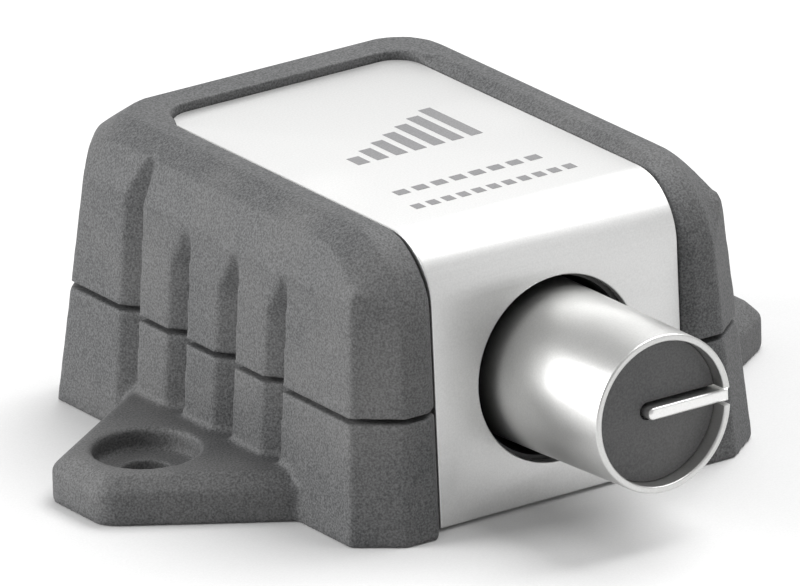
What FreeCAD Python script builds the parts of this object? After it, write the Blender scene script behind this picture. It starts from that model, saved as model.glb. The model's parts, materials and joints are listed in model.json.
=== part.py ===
import FreeCAD, Part
import math
import os

# Wireless bass-level remote for a car: a battery-powered knob unit that screws down by two ears.
# Millimetres. +Z up, the knob faces -Y, the underside is z = 0.
# The origin is on the underside, midway between the two fixing holes in the ears.

V = FreeCAD.Vector

# ---- Cover plate: one bent strip of sheet that makes the top and the front ----
PLATE_WIDTH = 30.0            # along X
PLATE_TOP = 30.0              # height of its top face above the underside
PLATE_RUN = 48.4              # from its front face at the bottom to its back edge
PLATE_THICK = 1.2
PLATE_BEND_R = 6.5            # outer radius of the bend
PLATE_CORNER_R = 3.2          # the two back corners
PLATE_FOOT = 0.3              # gap under its lower edge
PLATE_GAP = 0.15              # clearance round its edges in the housing
GLUE_THICK = 0.2
GLUE_INSET = 1.2
FRONT_SETBACK = 26.7          # fixing holes behind the plate's front face, at the bottom
FRONT_LEAN_DEG = 1.8          # the front leans back

# ---- Housing: an upper and a lower moulding round the plate ----
SIDE_WIDTH = 9.75             # from the plate's edge out to the side face, at z = 0
SIDE_DRAFT = 0.078            # how far a side leans in, per unit of height
CREST_RISE = 0.9              # rim crest above the plate's top face
CREST_PROUD = 1.6             # rim crest ahead of the plate's front face, at the bottom
CREST_LEAN = 0.07             # how far the rim's front leans back, per unit of height
CREST_BEND_R = 10.2           # the rim's curve over the front top edge
CREST_INNER = 1.25            # width of the rim's inner slope
CREST_EDGE_DRAFT = 0.052      # how far the crest's outer edge leans in, per unit of height
CREST_BACK = 3.9              # width of the crest behind the plate
CREST_CORNER_R = 5.0          # the crest's two back corners, seen from above
CREST_CORNER_FLARE = 1.45     # how much wider they get, per unit of height down
CORNER_FACET_X = 4.65         # front and back corner facets at z = 0, along X
CORNER_FRONT = 3.55           # front corner facet, along Y
CORNER_BACK = 3.7             # back corner facet, along Y
BACK_MARGIN = 9.5             # back face at z = 0 behind the plate's back edge
BACK_DRAFT = 0.125
BAND_DROP = 2.6               # height of the bevel band round the top
BAND_BACK_DROP = 1.95         # the same, along the back
BAND_CORNER_DROP = 1.4        # the side face's top corners below the band
BAND_CORNER_RUN = 7.2         # the side face's front top corner, along Y
BAND_BACK_RUN = 1.0           # and its back top corner
SHOULDER_DROP = 5.9           # the sides lean in more from this far below the crest
SHOULDER_SLOPE = 0.40
WALL_SIDE = 3.7
WALL_FRONT = 2.0
WALL_BACK = 2.4
WALL_TOP = 2.0
CAVITY_CORNER = 3.0           # the cavity's upright corners, cut off at 45 degrees
CAVITY_BEND_CUT = 3.9         # and its front top edge, under the bend
FLOOR = 2.0
PARTING_Z = 12.6              # top of the lower moulding's outer wall
PARTING_GAP = 0.5             # reveal between the two mouldings
LIP_THICK = 1.2               # lip of the lower moulding, inside the reveal
LIP_HEIGHT = 2.0
LIP_GAP = 0.15

# ---- Flutes in the sides ----
FLUTE_COUNT = 4
FLUTE_MIDDLE_Y = 2.5
FLUTE_PITCH = 8.55
FLUTE_WIDTH = 3.3
FLUTE_FLAT = 0.8              # width at the bottom of the groove, at its front wall
FLUTE_DEPTH = 1.9
FLUTE_RUNOUT = 4.6            # height over which the short flutes fade to nothing
FLUTE_TOP_DROP = 6.3          # top of the short flutes below the crest
FLUTE_LONG_DROP = 1.1         # top of the back flute below the crest

# ---- Fixing ears ----
EAR_HOLE_OUT = 7.5            # fixing hole outside the side face at z = 0
HOLE_R = 2.5
HEAD_R = 5.45                 # counterbore for the screw head
HEAD_DEPTH = 2.3
EAR_THICK = 5.0
EAR_BEVEL = 1.6
EAR_PAST_HOLE = 8.75          # end of the ear beyond its hole
EAR_TIP_HALF = 4.6
EAR_ROOT_HALF = 15.6
EAR_TIP_R = 3.0

# ---- Knob, along its own axis: depths run back from the plate's front face ----
KNOB_LENGTH = 18.0            # how far the knob stands out of the plate
KNOB_RIM_R = 8.17             # outer radius at its front rim
KNOB_TAPER = 0.43             # its back edge is this much larger in radius
KNOB_HOLE_GAP = 1.1           # round the knob in the plate's hole
KNOB_TAIL = 4.5               # how far the barrel reaches behind the plate's face
KNOB_RIM_WALL = 0.72
KNOB_CORE_WALL = 1.27         # barrel wall round the hub, at the rim
CAP_RECESS = 1.8              # dark cap below the rim
CAP_THICK = 1.7
CAP_GAP = 0.05
POINTER_WIDTH = 1.35
POINTER_SLOT_GAP = 0.25
POINTER_PAST_CENTRE = 1.4
POINTER_PROUD = 0.15          # past the outside of the rim
POINTER_DEPTH = 2.5
POINTER_LOW = 0.45            # its face below the rim's edge
POINTER_ROUND = 0.4

# ---- Knob well and potentiometer ----
WELL_STEP = 0.4               # the well shows inside the plate's hole by this much
WELL_WALL = 1.1
WELL_SOCKET_GAP = 0.2         # round the well in the housing
WELL_DEPTH = 9.0
WELL_BACK = 1.5
WELL_FLANGE = 1.1             # flange beyond the well's wall
WELL_FLANGE_THICK = 1.4
WELL_SEAT_GAP = 0.2           # flange behind the housing's front wall
WELL_FLOOR_GAP = 0.25         # flange above the floor
SHAFT_R = 3.0
SHAFT_FLAT_CUT = 1.5          # depth of the D's flat
SHAFT_RUN = 0.05              # running clearance in the bushing
SHAFT_FRONT = 9.0             # shaft end ahead of the plate's face
SHAFT_END_GAP = 0.3
BUSHING_WALL = 0.5
BUSHING_FRONT = 4.0
BUSHING_HOLE_GAP = 0.15
HUB_GAP = 0.8                 # hub ahead of the bushing's end
POT_PLATE_R = 7.0
POT_PLATE_THICK = 0.8
POT_R = 8.0
POT_DEPTH = 6.3
POT_SKIN = 0.5
NUT_WALL = 1.5                # from the bushing to the middle of a flat
NUT_THICK = 2.2
WASHER_WIDTH = 1.9
WASHER_THICK = 0.6
CLIP_WIDTH, CLIP_THICK = 1.4, 0.4
TRACK_THICK = 1.0
TRACK_HOLE_GAP = 0.4
WIPER_R = 6.3
WIPER_THICK = 1.5
STACK_GAP = 0.3               # between the clip, the track and the wiper
TERMINAL_X = (-4.0, 0.0, 4.0)
TERMINAL_WIDTH, TERMINAL_THICK, TERMINAL_ON_BOARD = 1.2, 0.4, 3.0
TERMINAL_GAP = 0.1

# ---- Battery and its cap on the underside ----
CELL_WALL_AHEAD = 0.8         # of the board's front edge
CELL_R = 10.0
CELL_THICK = 3.2
CELL_STEP_R, CELL_STEP_Z = 1.1, 0.6   # the can's shoulder
CELL_GAP = 0.1                # cell above the cap
CAP_PLUG_WALL = 1.1           # plug radius beyond the cell's
CAP_PLUG_TOP = 4.6
CAP_FLANGE = 1.4              # flange beyond the plug
CAP_FLANGE_THICK = 1.2
CAP_SUNK = 0.1                # its face above the underside
CAP_FACE_GAP = 0.1
CAP_RADIAL_GAP = 0.3
LUG_REACH = 1.1
LUG_LOW, LUG_HIGH = 2.1, 3.0
LUG_GAP = 0.3
LUG_COUNT = 3
LUG_DEG = 20.0
LUG_ENTRY_DEG = 26.0
CAP_TURN_DEG = 45.0
CAP_SLOT_LENGTH, CAP_SLOT_WIDTH, CAP_SLOT_DEPTH = 16.0, 1.8, 0.9
RING_SECTION = 0.45
RING_Z = 3.85
CELL_WALL = 1.3               # wall round the lugs' groove
CELL_WALL_RISE = 0.3          # and above the cell

# ---- Board ----
BOARD_OVER_CELL, BOARD_THICK = 1.3, 1.2
BOARD_BEHIND_POT, BOARD_BACK_MARGIN, BOARD_PAST_SCREWS = 2.1, 6.2, 1.0
BOARD_SCREW_INSET_X, BOARD_SCREW_INSET_Y = 2.4, 2.4
BOARD_POST_R, BOARD_SCREW_R, BOARD_SCREW_GAP = 2.2, 0.88, 0.2
BOARD_NOTCH_GAP = 0.5
CONTACT_SHEET = 0.3
SHIELD_HALF, SHIELD_LENGTH, SHIELD_HIGH, SHIELD_SHEET = 6.5, 13.0, 2.6, 0.3
SHIELD_FROM_EDGE = 16.0       # shield and chip behind the board's front edge
CHIP_SIDE, CHIP_HIGH, CHIP_FROM_EDGE = 7.0, 1.1, 6.5

# ---- Four screws that join the mouldings ----
SCREW_INSET_X = 4.05          # inside the cavity's side, at z = 0
SCREW_FROM_FRONT, SCREW_FROM_BACK = 10.1, 13.0
SCREW_POST_R, SCREW_R, SCREW_CLEAR = 2.9, 1.3, 0.25
SCREW_HEAD_R, SCREW_HEAD_THICK, SCREW_HEAD_SEAT = 2.3, 1.6, 3.4
SCREW_TIP_Z = 22.0
CROSS_LENGTH, CROSS_WIDTH, CROSS_DEPTH = 2.6, 0.6, 0.9

# ---- Worked out from the above ----
FRONT_Y = -FRONT_SETBACK
PLATE_BACK = FRONT_Y + PLATE_RUN
LEAN = math.tan(math.radians(FRONT_LEAN_DEG))
BASE_HALF_WIDTH = PLATE_WIDTH / 2 + SIDE_WIDTH
CREST_Z = PLATE_TOP + CREST_RISE
CREST_FRONT_Y = FRONT_Y - CREST_PROUD
CREST_EDGE_BASE = BASE_HALF_WIDTH - CORNER_FACET_X
BACK_FACE = PLATE_BACK + BACK_MARGIN
SHOULDER_Z = CREST_Z - SHOULDER_DROP
UPPER_Z = PARTING_Z + PARTING_GAP
LINING = PLATE_THICK + GLUE_THICK             # from the plate's face to the moulding under it
HOLE_X = BASE_HALF_WIDTH + EAR_HOLE_OUT       # half the spacing of the fixing holes
EAR_TIP_X = HOLE_X + EAR_PAST_HOLE
KNOB_BACK_R = KNOB_RIM_R + KNOB_TAPER
KNOB_CORE_R = KNOB_RIM_R - KNOB_CORE_WALL
KNOB_HOLE_R = KNOB_BACK_R + KNOB_HOLE_GAP
WELL_R = KNOB_HOLE_R - WELL_STEP
WELL_FLANGE_R = WELL_R + WELL_WALL + WELL_FLANGE
KNOB_Z = FLOOR + WELL_FLOOR_GAP + WELL_FLANGE_R   # height of the axis at the plate's face
BUSHING_R = SHAFT_R + SHAFT_RUN + BUSHING_WALL
POT_FRONT = WELL_DEPTH + WELL_BACK            # depth of the pot's mounting face
POT_CAN = POT_FRONT + POT_PLATE_THICK
POT_BACK = POT_CAN + POT_DEPTH
CELL_Z = CAP_PLUG_TOP + CELL_GAP
CAP_PLUG_R = CELL_R + CAP_PLUG_WALL
CAP_FLANGE_R = CAP_PLUG_R + CAP_FLANGE
LUG_R = CAP_PLUG_R + LUG_REACH
RING_R = CAP_PLUG_R + CAP_RADIAL_GAP / 3 - RING_SECTION
CELL_WALL_R = LUG_R + LUG_GAP + CELL_WALL
CELL_WALL_TOP = CELL_Z + CELL_THICK + CELL_WALL_RISE
SCREW_X = BASE_HALF_WIDTH - WALL_SIDE - SCREW_INSET_X
SCREW_FRONT, SCREW_BACK = FRONT_Y + SCREW_FROM_FRONT, BACK_FACE - SCREW_FROM_BACK
BOARD_Z = CELL_Z + CELL_THICK + BOARD_OVER_CELL
BOARD_TOP = BOARD_Z + BOARD_THICK
BOARD_FRONT, BOARD_BACK = FRONT_Y + POT_BACK + BOARD_BEHIND_POT, BACK_FACE - BOARD_BACK_MARGIN
BOARD_HALF = SCREW_X + BOARD_PAST_SCREWS
CELL_Y = BOARD_FRONT - CELL_WALL_AHEAD + CELL_WALL_R
BELOW = 1.0                                   # the outer profiles run on below the underside, to be cut flat
FAR = 120.0                                   # reach of cutting solids


def box(x0, x1, y0, y1, z0, z1):
    return Part.makeBox(x1 - x0, y1 - y0, z1 - z0, V(x0, y0, z0))


def rod(radius, low, high, x=0.0, y=0.0):
    return Part.makeCylinder(radius, high - low, V(x, y, low))


def ring(outer, inner, low, high, x=0.0, y=0.0):
    return rod(outer, low, high, x, y).cut(rod(inner, low - 1, high + 1, x, y))


def prism(points, direction):
    return Part.Face(Part.makePolygon([V(*p) for p in points] + [V(*points[0])])).extrude(V(*direction))


def mirror_x(shape):
    return shape.mirror(V(0, 0, 0), V(1, 0, 0))


def fuse(shapes):
    return shapes[0].multiFuse(shapes[1:]).removeSplitter()


def on_axis(shape):
    """Place a piece drawn along +Z (0 = the plate's face, + = outwards) on the knob's axis."""
    turned = shape.copy()
    turned.rotate(V(0, 0, 0), V(1, 0, 0), 90.0 - FRONT_LEAN_DEG)
    turned.translate(V(0, FRONT_Y + LEAN * KNOB_Z, KNOB_Z))
    return turned


# ---------------------------------------------------------------- profiles seen from the side

def bend(front_foot, lean, top, radius):
    """Foot, start, middle and end of a leaning front line that curves into a level top.

    front_foot is where the line meets the underside; the foot itself lies below it.
    """
    slope = math.atan(lean)
    reach = radius * math.tan((math.pi / 2 - slope) / 2)
    corner_y = front_foot + lean * top
    start = V(0, corner_y - reach * math.sin(slope), top - reach * math.cos(slope))
    end = V(0, corner_y + reach, top)
    centre = V(0, corner_y + reach, top - radius)
    half = (math.pi / 2 - slope) / 2
    middle = centre + V(0, -radius * math.sin(half), radius * math.cos(half))
    return V(0, front_foot - lean * BELOW, -BELOW), start, middle, end


def bent_wire(x, foot, start, middle, end, rest):
    """Closed wire at one x: front line, bend, then straight edges through the other points."""
    at = V(x, 0, 0)
    edges = [Part.LineSegment(foot + at, start + at).toShape(),
             Part.Arc(start + at, middle + at, end + at).toShape()]
    corners = [end] + [V(0, y, z) for y, z in rest] + [foot]
    for a, b in zip(corners, corners[1:]):
        edges.append(Part.LineSegment(a + at, b + at).toShape())
    return Part.Wire(edges)


def offset_bend(depth):
    """The plate's outer profile moved in by depth."""
    front = FRONT_Y + depth / math.cos(math.atan(LEAN))
    return bend(front, LEAN, PLATE_TOP - depth, PLATE_BEND_R - depth)


# ---------------------------------------------------------------- housing

def lean_in(shape, draft):
    """Lean a shape towards x = 0 as it rises."""
    m = FreeCAD.Matrix()
    m.A13 = -draft
    return shape.transformGeometry(m)


def crest_wire():
    back_low = CREST_Z - BAND_BACK_DROP
    rest = [(PLATE_BACK + CREST_BACK, CREST_Z), (BACK_FACE - BACK_DRAFT * back_low, back_low),
            (BACK_FACE + BACK_DRAFT * BELOW, -BELOW)]
    wire = bent_wire(CREST_EDGE_BASE, *bend(CREST_FRONT_Y, CREST_LEAN, CREST_Z, CREST_BEND_R), rest)
    return lean_in(wire, CREST_EDGE_DRAFT)


def side_wire():
    top = CREST_Z - BAND_DROP
    front = CREST_FRONT_Y + CORNER_FRONT
    back = BACK_FACE - CORNER_BACK
    low = top - BAND_CORNER_DROP
    corners = [(front - CREST_LEAN * BELOW, -BELOW), (front + CREST_LEAN * low, low),
               (front + CREST_LEAN * low + BAND_CORNER_RUN, top),
               (back - BACK_DRAFT * top - BAND_BACK_RUN, top), (back - BACK_DRAFT * low, low),
               (back + BACK_DRAFT * BELOW, -BELOW)]
    points = [V(BASE_HALF_WIDTH - SIDE_DRAFT * z, y, z) for y, z in corners]
    return Part.makePolygon(points + [points[0]])


def crest_corner():
    """Cutter that rounds the crest's right-hand back corner, wider towards the bottom."""
    x = CREST_EDGE_BASE - CREST_EDGE_DRAFT * CREST_Z - CREST_CORNER_R
    y = PLATE_BACK + CREST_BACK - CREST_CORNER_R
    above = CREST_CORNER_R / CREST_CORNER_FLARE / 2
    below = SHOULDER_DROP + BAND_DROP
    radii = [CREST_CORNER_R + CREST_CORNER_FLARE * below, CREST_CORNER_R - CREST_CORNER_FLARE * above]
    cone = Part.makeCone(*radii, below + above, V(x, y, CREST_Z - below))
    return box(x, FAR, y, FAR, CREST_Z - below, CREST_Z + above).cut(cone)


def outer_block():
    """The closed outer form of the two mouldings together, without the ears."""
    crest, side = crest_wire(), side_wire()
    block = Part.makeLoft([crest, side], True, True)
    middle = Part.makeLoft([mirror_x(crest), crest], True, True)
    block = fuse([middle, block, mirror_x(block)])
    shoulder_x = BASE_HALF_WIDTH - SIDE_DRAFT * SHOULDER_Z
    rise = 10.0
    wedge = prism([(shoulder_x, -FAR, SHOULDER_Z), (FAR, -FAR, SHOULDER_Z), (FAR, -FAR, SHOULDER_Z + rise),
                   (shoulder_x - SHOULDER_SLOPE * rise, -FAR, SHOULDER_Z + rise)], (0, 2 * FAR, 0))
    corner = crest_corner()
    return block.cut([wedge, mirror_x(wedge), corner, mirror_x(corner)])


def flute(index):
    """Cutter for one vertical groove in the right-hand side; the short ones rise to a point."""
    y = FLUTE_MIDDLE_Y + FLUTE_PITCH * (index - (FLUTE_COUNT - 1) / 2)
    long = index == FLUTE_COUNT - 1
    top = CREST_Z - (FLUTE_LONG_DROP if long else FLUTE_TOP_DROP)
    turn = top if long else top - FLUTE_RUNOUT
    sections = [flute_section(y, -BELOW, 0), flute_section(y, turn, 0)]
    groove = Part.makeLoft(sections, True, True)
    if long:
        return groove
    fade = Part.makeLoft([flute_section(y, turn, 0), flute_section(y, top, FLUTE_DEPTH)], True, True)
    return fuse([groove, fade])


def flute_section(y, z, raised):
    """Outline of a groove at one height: upright front wall, back wall sloping out; raised lifts it."""
    bottom = BASE_HALF_WIDTH - SIDE_DRAFT * z - FLUTE_DEPTH + raised
    mouth = bottom + 2 * FLUTE_DEPTH
    front = y - FLUTE_WIDTH / 2
    back = front + 2 * FLUTE_WIDTH - FLUTE_FLAT
    points = [V(bottom, front, z), V(mouth, front, z), V(mouth, back, z), V(bottom, front + FLUTE_FLAT, z)]
    return Part.makePolygon(points + [points[0]])


def cavity(grow, low, high):
    """Inside of the housing, grown outwards by grow, between two heights."""
    sections = []
    for z in (low, high):
        x = BASE_HALF_WIDTH - WALL_SIDE - SIDE_DRAFT * z + grow
        front = FRONT_Y + LINING + WALL_FRONT + LEAN * z - grow
        back = BACK_FACE - WALL_BACK - BACK_DRAFT * z + grow
        cut = CAVITY_CORNER
        outline = [(x - cut, front), (x, front + cut), (x, back - cut), (x - cut, back),
                   (cut - x, back), (-x, back - cut), (-x, front + cut), (cut - x, front)]
        points = [V(a, b, z) for a, b in outline]
        sections.append(Part.makePolygon(points + [points[0]]))
    return Part.makeLoft(sections, True, True)


def cavity_under_bend():
    """The cavity's upper part, with its front top edge cut back to keep a wall under the bend."""
    top = PLATE_TOP - LINING - WALL_TOP
    room = cavity(0, FLOOR, top)
    front = FRONT_Y + LINING + WALL_FRONT + LEAN * top
    cut = CAVITY_BEND_CUT
    corner = [(-FAR, front - 1, top - cut - 1), (-FAR, front + cut + 1, top + 1), (-FAR, front - 1, top + 1)]
    wedge = prism(corner, (2 * FAR, 0, 0))
    return room.cut(wedge)


def plate_recess():
    """What is taken out of the rim for the plate, the glue and the rim's inner slope."""
    width = PLATE_WIDTH / 2 + PLATE_GAP
    back = PLATE_BACK + PLATE_GAP
    over = CREST_Z + 10
    ahead = CREST_FRONT_Y - 10
    channel_rest = [(back, PLATE_TOP - LINING), (back, over), (ahead, over), (ahead, -BELOW)]
    channel = bent_wire(-width, *offset_bend(LINING), channel_rest)
    channel = Part.Face(channel).extrude(V(2 * width, 0, 0))
    back_corners = [e for e in channel.Edges if e.BoundBox.YMin > back - 0.01 and e.BoundBox.XLength < 0.01]
    channel = channel.makeFillet(PLATE_CORNER_R + PLATE_GAP, back_corners)
    slope_back = back - PLATE_CORNER_R - PLATE_GAP
    inner_rest = [(slope_back, PLATE_TOP), (slope_back, over), (ahead, over), (ahead, -BELOW)]
    inner = bent_wire(width, *offset_bend(0), inner_rest)
    crest = bend(CREST_FRONT_Y, CREST_LEAN, CREST_Z, CREST_BEND_R)
    outer = bent_wire(width + CREST_INNER, *crest,
                      [(slope_back - CREST_INNER, CREST_Z), (slope_back - CREST_INNER, over), (ahead, over),
                       (ahead, -BELOW)])
    slope = Part.makeLoft([inner, outer], True, True)
    return [channel, slope, mirror_x(slope)]


def screw_places():
    return [(s * SCREW_X, y) for s in (-1, 1) for y in (SCREW_FRONT, SCREW_BACK)]


def board_places():
    x, inset = BOARD_HALF - BOARD_SCREW_INSET_X, BOARD_SCREW_INSET_Y
    return [(s * x, y) for s in (-1, 1) for y in (BOARD_FRONT + inset, BOARD_BACK - inset)]


def well_socket():
    """Hole in the mouldings' front wall that the knob well stands in."""
    return on_axis(rod(WELL_R + WELL_WALL + WELL_SOCKET_GAP, -LINING - WALL_FRONT - 2, 5))


def flange_seat():
    """Room under the front top bend for the well's flange, which goes in from behind."""
    return on_axis(rod(WELL_FLANGE_R + WELL_SEAT_GAP, -POT_FRONT, -LINING - WALL_FRONT - WELL_SEAT_GAP / 2))


def shell():
    """Both mouldings' outer walls, hollow and fluted, before they are parted."""
    body = outer_block().cut(cavity_under_bend())
    grooves = [flute(i) for i in range(FLUTE_COUNT)]
    cutters = plate_recess() + grooves + [mirror_x(g) for g in grooves] + [well_socket()]
    return body.cut(cutters)


def lip(gap):
    """Lip that stands up inside the parting line; gap widens it to make its seat."""
    ring_out = cavity(LIP_THICK + gap, PARTING_Z - 1.0, PARTING_Z + LIP_HEIGHT + gap)
    ring_in = cavity(0, PARTING_Z - 2.0, PARTING_Z + LIP_HEIGHT + gap + 1)
    ring_in = ring_in if gap == 0 else cavity(-gap, PARTING_Z - 2.0, PARTING_Z + LIP_HEIGHT + gap + 1)
    return ring_out.cut(ring_in).cut(well_socket())


def upper_housing(walls):
    body = walls.common(box(-FAR, FAR, -FAR, FAR, UPPER_Z, FAR))
    posts = []
    top = PLATE_TOP - LINING - WALL_TOP / 2
    for x, y in screw_places():
        posts.append(rod(SCREW_POST_R, UPPER_Z, top, x, y))
    body = fuse([body] + posts)
    pilots = [rod(SCREW_R, 0, SCREW_TIP_Z + 1, x, y) for x, y in screw_places()]
    return body.cut(pilots + [lip(LIP_GAP), flange_seat()])


def ear():
    """Right-hand fixing ear with its counterbored hole, run into the side wall past the flutes."""
    x_root = BASE_HALF_WIDTH - (FLUTE_DEPTH + WALL_SIDE) / 2
    slope = (EAR_ROOT_HALF - EAR_TIP_HALF) / (EAR_TIP_X - BASE_HALF_WIDTH)
    root = EAR_ROOT_HALF + slope * (BASE_HALF_WIDTH - x_root)
    body = prism([(x_root, -root, 0), (EAR_TIP_X, -EAR_TIP_HALF, 0), (EAR_TIP_X, EAR_TIP_HALF, 0),
                  (x_root, root, 0)], (0, 0, EAR_THICK))
    tips = [e for e in body.Edges if e.BoundBox.ZLength > 1 and e.BoundBox.XMin > EAR_TIP_X - 0.1]
    body = body.makeFillet(EAR_TIP_R, tips)
    rim = [e for e in body.Edges if e.BoundBox.ZMin > EAR_THICK - 0.1 and e.BoundBox.XMax > x_root + 0.1]
    body = body.makeChamfer(EAR_BEVEL, rim)
    return body.cut([rod(HOLE_R, -1, EAR_THICK + 1, HOLE_X),
                     rod(HEAD_R, EAR_THICK - HEAD_DEPTH, EAR_THICK + 1, HOLE_X)])


def cap_seat():
    """What is taken out of the lower moulding for the battery cap, its lugs and the cell."""
    bore = CAP_PLUG_R + CAP_RADIAL_GAP
    seat_top = CAP_FLANGE_THICK + CAP_FACE_GAP
    cuts = [rod(CAP_FLANGE_R + CAP_RADIAL_GAP, -1, seat_top, 0, CELL_Y),
            rod(bore, -1, CELL_WALL_TOP + 1, 0, CELL_Y),
            rod(LUG_R + LUG_GAP, LUG_LOW - LUG_GAP, LUG_HIGH + LUG_GAP, 0, CELL_Y)]
    for i in range(LUG_COUNT):
        entry = lug_sector(LUG_R + LUG_GAP, 0, LUG_HIGH, LUG_ENTRY_DEG)
        entry.rotate(V(0, 0, 0), V(0, 0, 1), i * 360.0 / LUG_COUNT - CAP_TURN_DEG)
        entry.translate(V(0, CELL_Y, 0))
        cuts.append(entry)
    return cuts


def lug_sector(radius, low, high, degrees):
    sector = Part.makeCylinder(radius, high - low, V(0, 0, low), V(0, 0, 1), degrees)
    sector.rotate(V(0, 0, 0), V(0, 0, 1), -degrees / 2)
    return sector


def lower_housing(walls):
    body = walls.common(box(-FAR, FAR, -FAR, FAR, 0, PARTING_Z))
    inside = cavity(0.5, 0, PARTING_Z)
    added = [ear(), mirror_x(ear()), lip(0)]
    added += [rod(SCREW_POST_R, 0, PARTING_Z, x, y).common(inside) for x, y in screw_places()]
    added += [rod(BOARD_POST_R, FLOOR / 2, BOARD_Z, x, y) for x, y in board_places()]
    added.append(rod(CELL_WALL_R, FLOOR / 2, CELL_WALL_TOP, 0, CELL_Y))
    body = fuse([body] + added)
    cuts = cap_seat()
    for x, y in screw_places():
        cuts.append(rod(SCREW_R + SCREW_CLEAR, -1, PARTING_Z + LIP_HEIGHT + 1, x, y))
        cuts.append(rod(SCREW_HEAD_R + SCREW_CLEAR, -1, SCREW_HEAD_SEAT, x, y))
    cuts += [rod(BOARD_SCREW_R, BOARD_Z - 4.5, BOARD_Z + 1, x, y) for x, y in board_places()]
    return body.cut(cuts)


# ---------------------------------------------------------------- plate

def bent_sheet(outer_depth, thick, half_width, foot, back):
    """A strip that follows the plate's profile at a depth below its outer face."""
    outside = offset_bend(outer_depth)
    inside = offset_bend(outer_depth + thick)
    solid = Part.Face(bent_wire(-half_width, *outside, [(back, PLATE_TOP - outer_depth), (back, -BELOW)]))
    hollow = Part.Face(bent_wire(-half_width - 1, *inside,
                                 [(back + 1, PLATE_TOP - outer_depth - thick), (back + 1, -BELOW)]))
    solid, hollow = solid.extrude(V(2 * half_width, 0, 0)), hollow.extrude(V(2 * half_width + 2, 0, 0))
    return solid.cut([hollow, box(-FAR, FAR, -FAR, FAR, -FAR, foot)])


def cover_plate():
    body = bent_sheet(0, PLATE_THICK, PLATE_WIDTH / 2, PLATE_FOOT, PLATE_BACK)
    corners = [e for e in body.Edges if abs(e.BoundBox.ZLength - PLATE_THICK) < 0.01
               and e.BoundBox.YMin > PLATE_BACK - 0.1 and e.BoundBox.XLength < 0.01]
    body = body.makeFillet(PLATE_CORNER_R, corners)
    return body.cut(on_axis(rod(KNOB_HOLE_R, -PLATE_THICK - 2, 3)))


def plate_adhesive():
    body = bent_sheet(PLATE_THICK, GLUE_THICK, PLATE_WIDTH / 2 - GLUE_INSET, PLATE_FOOT + GLUE_INSET,
                      PLATE_BACK - PLATE_CORNER_R)
    return body.cut(on_axis(rod(WELL_R + WELL_WALL + GLUE_INSET, -POT_FRONT, 3)))


# ---------------------------------------------------------------- knob and potentiometer

def knob_well():
    front = -LINING
    flange = -LINING - WALL_FRONT - WELL_SEAT_GAP
    body = fuse([rod(WELL_R + WELL_WALL, -POT_FRONT, front),
                 rod(WELL_FLANGE_R, flange - WELL_FLANGE_THICK, flange)])
    holes = [rod(WELL_R, -WELL_DEPTH, 1), rod(BUSHING_R + BUSHING_HOLE_GAP, -POT_FRONT - 1, 0)]
    return on_axis(body.cut(holes)).common(under_plate())


def under_plate():
    """All that lies behind and below the plate's lining."""
    bent = offset_bend(PLATE_THICK + GLUE_THICK / 2)
    side = bent_wire(-FAR, *bent, [(FAR, bent[-1].z), (FAR, -BELOW)])
    return Part.Face(side).extrude(V(2 * FAR, 0, 0))


def pointer_bar(width, depth_from, depth_to, reach):
    """Round-ended bar from just past the axis out towards +X; its round end keeps one centre."""
    r = width / 2
    start = POINTER_WIDTH / 2 - POINTER_PAST_CENTRE
    return fuse([box(start, reach, -r, r, depth_from, depth_to), rod(r, depth_from, depth_to, start)])


def pointer_levels():
    high = KNOB_LENGTH - POINTER_LOW
    return high - POINTER_DEPTH, high


def knob_barrel():
    profile = [(KNOB_CORE_R, -KNOB_TAIL), (KNOB_BACK_R, -KNOB_TAIL), (KNOB_RIM_R, KNOB_LENGTH),
               (KNOB_RIM_R - KNOB_RIM_WALL, KNOB_LENGTH),
               (KNOB_RIM_R - KNOB_RIM_WALL, KNOB_LENGTH - CAP_RECESS - CAP_THICK),
               (KNOB_CORE_R, KNOB_LENGTH - CAP_RECESS - CAP_THICK)]
    points = [V(r, 0, h) for r, h in profile]
    body = Part.Face(Part.makePolygon(points + [points[0]])).revolve(V(0, 0, 0), V(0, 0, 1), 360)
    low, high = pointer_levels()
    half = POINTER_WIDTH / 2 + POINTER_SLOT_GAP
    return on_axis(body.cut(box(KNOB_CORE_R, KNOB_RIM_R + 1, -half, half, low, KNOB_LENGTH + 1)))


def knob_core():
    """Inner hub with the D-shaped bore that grips the shaft."""
    high = KNOB_LENGTH - CAP_RECESS - CAP_THICK
    body = rod(KNOB_CORE_R, HUB_GAP - BUSHING_FRONT, high)
    return on_axis(body.cut(d_rod(-BUSHING_FRONT, SHAFT_FRONT + SHAFT_END_GAP)))


def d_rod(low, high):
    flat = SHAFT_R - SHAFT_FLAT_CUT
    return rod(SHAFT_R, low, high).cut(box(-FAR, FAR, flat, FAR, low - 1, high + 1))


def knob_cap():
    high = KNOB_LENGTH - CAP_RECESS
    body = rod(KNOB_RIM_R - KNOB_RIM_WALL - CAP_GAP, high - CAP_THICK, high)
    low, _ = pointer_levels()
    slot = pointer_bar(POINTER_WIDTH + 2 * POINTER_SLOT_GAP, low, high + 1, KNOB_RIM_R)
    return on_axis(body.cut(slot))


def knob_pointer():
    low, high = pointer_levels()
    body = pointer_bar(POINTER_WIDTH, low, high, KNOB_RIM_R + POINTER_PROUD)
    top = [e for e in body.Edges if e.BoundBox.ZMin > high - 0.01]
    return on_axis(body.makeFillet(POINTER_ROUND, top))


def pot_bushing():
    body = fuse([rod(BUSHING_R, -POT_CAN, -BUSHING_FRONT), rod(POT_PLATE_R, -POT_CAN, -POT_FRONT)])
    return on_axis(body.cut(rod(SHAFT_R + SHAFT_RUN, -POT_CAN - 1, 0)))


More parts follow.
